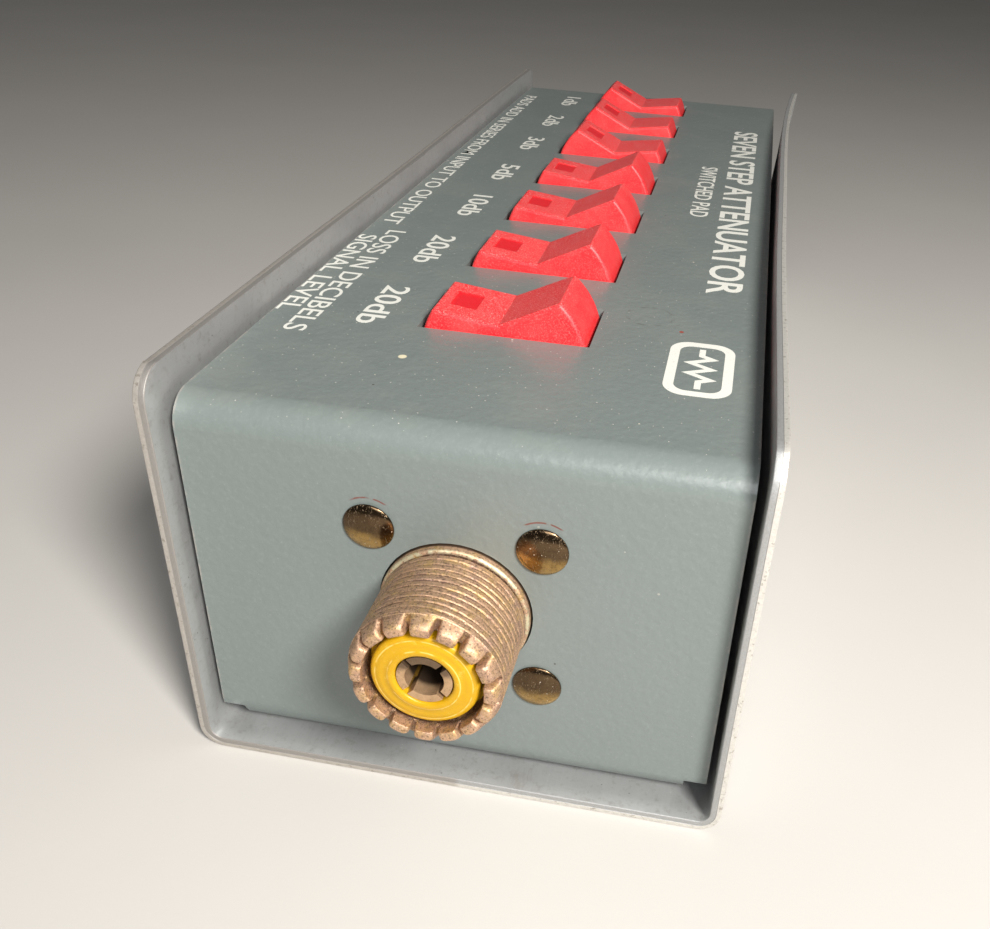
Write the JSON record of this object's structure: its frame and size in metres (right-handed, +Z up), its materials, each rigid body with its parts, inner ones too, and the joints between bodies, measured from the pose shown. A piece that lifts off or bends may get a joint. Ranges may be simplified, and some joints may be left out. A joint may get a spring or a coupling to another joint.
{
  "type": "rf step attenuator",
  "caption": "Long narrow metal box with a row of red rocker switches on top and a threaded coaxial socket at each end; each rocker switches one resistor pad into the line.",
  "frame": {"origin": "centre of the cover's underside, midway between the two sockets' tips", "axes": "+Z up out of the top panel, +Y along the box from the input socket to the output socket, +X across, towards the legend side"},
  "size_m": [0.0626, 0.1972, 0.0503],
  "materials": {
    "chassis_paint": "blue-grey satin enamel with fine orange peel",
    "cover_metal": "bare mill-finish sheet, dulled, with bright sheared edges",
    "screw_steel": "zinc-plated steel",
    "tinned_steel": "tin-plated sheet",
    "housing_plastic": "black phenolic moulding",
    "slider_plastic": "natural nylon moulding",
    "rocker_plastic": "bright red moulded plastic, satin gloss, dusty",
    "contact_metal": "silver-washed spring brass",
    "rivet_metal": "tarnished plated brass",
    "wire_metal": "tinned copper wire",
    "resistor_body": "brown moulded carbon-composition body",
    "socket_metal": "worn nickel plate gone bronze",
    "socket_insulator": "amber-yellow moulded insulator",
    "socket_contact_metal": "tarnished plated brass"
  },
  "bodies": {
    "enclosure": {"chassis": "chassis_paint", "bottom_cover": "cover_metal", "cover_screws": "screw_steel", "switch_frame": "tinned_steel", "switch_housing_20db_outer": "housing_plastic", "switch_housing_20db_inner": "housing_plastic", "switch_housing_10db": "housing_plastic", "switch_housing_5db": "housing_plastic", "switch_housing_3db": "housing_plastic", "switch_housing_2db": "housing_plastic", "switch_housing_1db": "housing_plastic", "rocker_pins": "screw_steel", "switch_lugs": "contact_metal", "switch_rivets": "rivet_metal", "bypass_wires": "wire_metal", "signal_wires": "wire_metal", "pad_resistors_20db_outer": "resistor_body", "pad_resistors_20db_inner": "resistor_body", "pad_resistors_10db": "resistor_body", "pad_resistors_5db": "resistor_body", "pad_resistors_3db": "resistor_body", "pad_resistors_2db": "resistor_body", "pad_resistors_1db": "resistor_body", "shield_1": "tinned_steel", "shield_2": "tinned_steel", "shield_3": "tinned_steel", "shield_4": "tinned_steel", "shield_5": "tinned_steel", "shield_6": "tinned_steel", "input_socket_shell": "socket_metal", "input_socket_insulator": "socket_insulator", "input_socket_contact": "socket_contact_metal", "input_socket_rivets": "rivet_metal", "output_socket_shell": "socket_metal", "output_socket_insulator": "socket_insulator", "output_socket_contact": "socket_contact_metal", "output_socket_rivets": "rivet_metal"},
    "rocker_20db_outer": {"rocker_20db_outer": "rocker_plastic"},
    "slider_20db_outer": {"slider_20db_outer": "slider_plastic", "contact_clips_20db_outer": "contact_metal"},
    "rocker_20db_inner": {"rocker_20db_inner": "rocker_plastic"},
    "slider_20db_inner": {"slider_20db_inner": "slider_plastic", "contact_clips_20db_inner": "contact_metal"},
    "rocker_10db": {"rocker_10db": "rocker_plastic"},
    "slider_10db": {"slider_10db": "slider_plastic", "contact_clips_10db": "contact_metal"},
    "rocker_5db": {"rocker_5db": "rocker_plastic"},
    "slider_5db": {"slider_5db": "slider_plastic", "contact_clips_5db": "contact_metal"},
    "rocker_3db": {"rocker_3db": "rocker_plastic"},
    "slider_3db": {"slider_3db": "slider_plastic", "contact_clips_3db": "contact_metal"},
    "rocker_2db": {"rocker_2db": "rocker_plastic"},
    "slider_2db": {"slider_2db": "slider_plastic", "contact_clips_2db": "contact_metal"},
    "rocker_1db": {"rocker_1db": "rocker_plastic"},
    "slider_1db": {"slider_1db": "slider_plastic", "contact_clips_1db": "contact_metal"}
  },
  "joints": [
    {"name": "rocker_20db_outer_tilt", "type": "hinge", "parent": "enclosure", "child": "rocker_20db_outer", "pos_m": [-0.00105, -0.0565, 0.0427], "axis": [0, 1, 0], "range_deg": [0, 19]},
    {"name": "slider_20db_outer_slide", "type": "slide", "parent": "enclosure", "child": "slider_20db_outer", "axis": [1, 0, 0], "range_m": [-0.00231, 0]},
    {"name": "rocker_20db_inner_tilt", "type": "hinge", "parent": "enclosure", "child": "rocker_20db_inner", "pos_m": [-0.00105, -0.0351, 0.0427], "axis": [0, 1, 0], "range_deg": [0, 19]},
    {"name": "slider_20db_inner_slide", "type": "slide", "parent": "enclosure", "child": "slider_20db_inner", "axis": [1, 0, 0], "range_m": [-0.00231, 0]},
    {"name": "rocker_10db_tilt", "type": "hinge", "parent": "enclosure", "child": "rocker_10db", "pos_m": [-0.00105, -0.0137, 0.0427], "axis": [0, 1, 0], "range_deg": [0, 19]},
    {"name": "slider_10db_slide", "type": "slide", "parent": "enclosure", "child": "slider_10db", "axis": [1, 0, 0], "range_m": [-0.00231, 0]},
    {"name": "rocker_5db_tilt", "type": "hinge", "parent": "enclosure", "child": "rocker_5db", "pos_m": [-0.00105, 0.0077, 0.0427], "axis": [0, 1, 0], "range_deg": [0, 19]},
    {"name": "slider_5db_slide", "type": "slide", "parent": "enclosure", "child": "slider_5db", "axis": [1, 0, 0], "range_m": [-0.00231, 0]},
    {"name": "rocker_3db_tilt", "type": "hinge", "parent": "enclosure", "child": "rocker_3db", "pos_m": [-0.00105, 0.0291, 0.0427], "axis": [0, 1, 0], "range_deg": [-19, 0]},
    {"name": "slider_3db_slide", "type": "slide", "parent": "enclosure", "child": "slider_3db", "axis": [1, 0, 0], "range_m": [0, 0.00231]},
    {"name": "rocker_2db_tilt", "type": "hinge", "parent": "enclosure", "child": "rocker_2db", "pos_m": [-0.00105, 0.0505, 0.0427], "axis": [0, 1, 0], "range_deg": [-19, 0]},
    {"name": "slider_2db_slide", "type": "slide", "parent": "enclosure", "child": "slider_2db", "axis": [1, 0, 0], "range_m": [0, 0.00231]},
    {"name": "rocker_1db_tilt", "type": "hinge", "parent": "enclosure", "child": "rocker_1db", "pos_m": [-0.00105, 0.0719, 0.0427], "axis": [0, 1, 0], "range_deg": [-19, 0]},
    {"name": "slider_1db_slide", "type": "slide", "parent": "enclosure", "child": "slider_1db", "axis": [1, 0, 0], "range_m": [0, 0.00231]}
  ],
  "couplings": [
    {"joint": "rocker_20db_outer_tilt", "follows": "slider_20db_outer_slide", "rad_per_m": -143.51},
    {"joint": "rocker_20db_inner_tilt", "follows": "slider_20db_inner_slide", "rad_per_m": -143.51},
    {"joint": "rocker_10db_tilt", "follows": "slider_10db_slide", "rad_per_m": -143.51},
    {"joint": "rocker_5db_tilt", "follows": "slider_5db_slide", "rad_per_m": -143.51},
    {"joint": "rocker_3db_tilt", "follows": "slider_3db_slide", "rad_per_m": -143.51},
    {"joint": "rocker_2db_tilt", "follows": "slider_2db_slide", "rad_per_m": -143.51},
    {"joint": "rocker_1db_tilt", "follows": "slider_1db_slide", "rad_per_m": -143.51}
  ]
}
